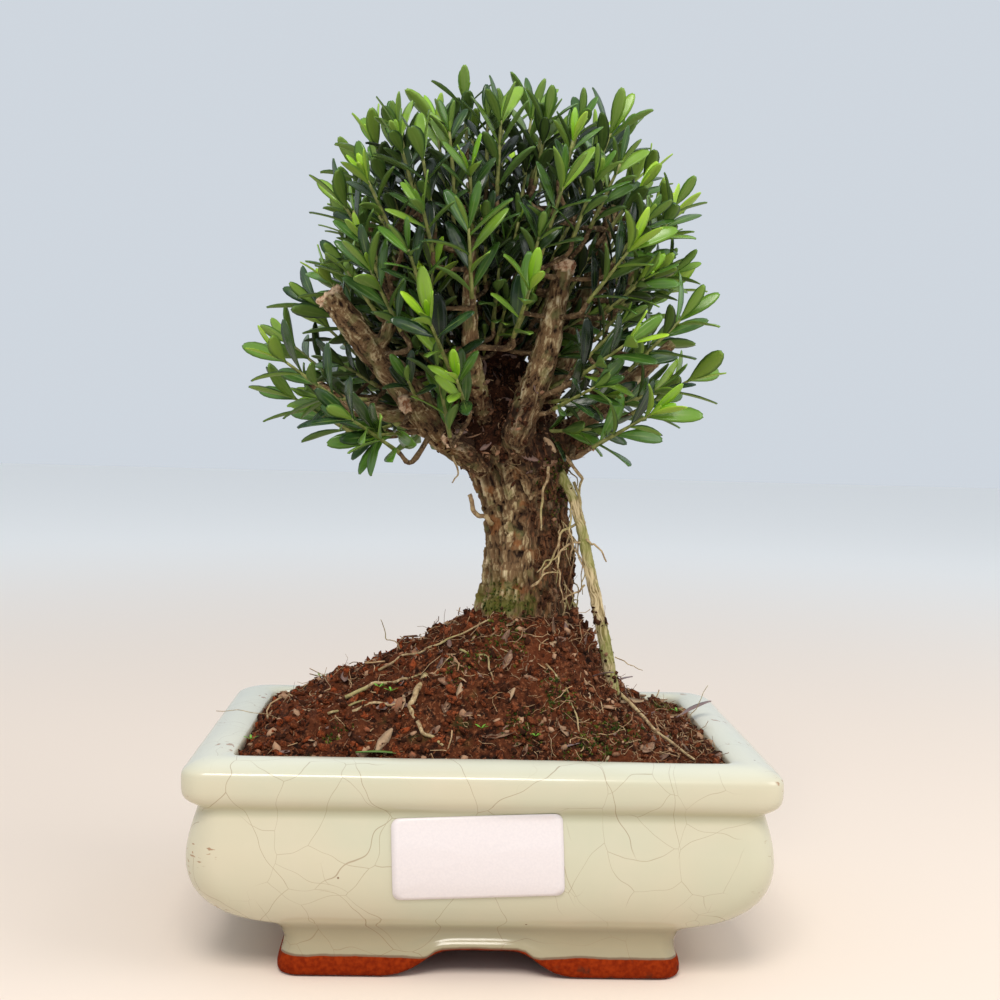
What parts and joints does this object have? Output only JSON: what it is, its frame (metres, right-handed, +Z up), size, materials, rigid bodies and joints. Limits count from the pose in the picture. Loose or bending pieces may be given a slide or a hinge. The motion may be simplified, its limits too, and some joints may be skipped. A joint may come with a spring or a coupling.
{
  "type": "potted bonsai tree",
  "caption": "Small-leaved boxwood bonsai with a stout ridged trunk, sawn stumps and a domed crown, in a glazed rectangular pot with feet.",
  "frame": {"origin": "on the ground under the middle of the pot", "axes": "+X to the right as seen from the pot's labelled front, +Y to the back, +Z up the trunk"},
  "size_m": [0.184, 0.136, 0.2885],
  "materials": {
    "glaze": "pale celadon crackle glaze",
    "sticker": "blank satin paper",
    "bark": "rough ridged bark",
    "peat": "crumbly fibrous soil",
    "leaf": "glossy green leaves on green stems"
  },
  "bodies": {
    "root": {"label": "sticker", "pot": "glaze", "soil": "peat", "spray_01": "leaf", "spray_02": "leaf", "spray_03": "leaf", "spray_04": "leaf", "spray_05": "leaf", "spray_06": "leaf", "spray_07": "leaf", "spray_08": "leaf", "spray_09": "leaf", "spray_10": "leaf", "spray_11": "leaf", "spray_12": "leaf", "spray_13": "leaf", "spray_14": "leaf", "spray_15": "leaf", "spray_16": "leaf", "spray_17": "leaf", "spray_18": "leaf", "spray_19": "leaf", "spray_20": "leaf", "spray_21": "leaf", "spray_22": "leaf", "spray_23": "leaf", "spray_24": "leaf", "spray_25": "leaf", "spray_26": "leaf", "spray_27": "leaf", "spray_28": "leaf", "spray_29": "leaf", "spray_30": "leaf", "spray_31": "leaf", "spray_32": "leaf", "spray_33": "leaf", "spray_34": "leaf", "spray_35": "leaf", "spray_36": "leaf", "spray_37": "leaf", "spray_38": "leaf", "spray_39": "leaf", "spray_40": "leaf", "spray_41": "leaf", "spray_42": "leaf", "trunk": "bark"}
  },
  "joints": []
}
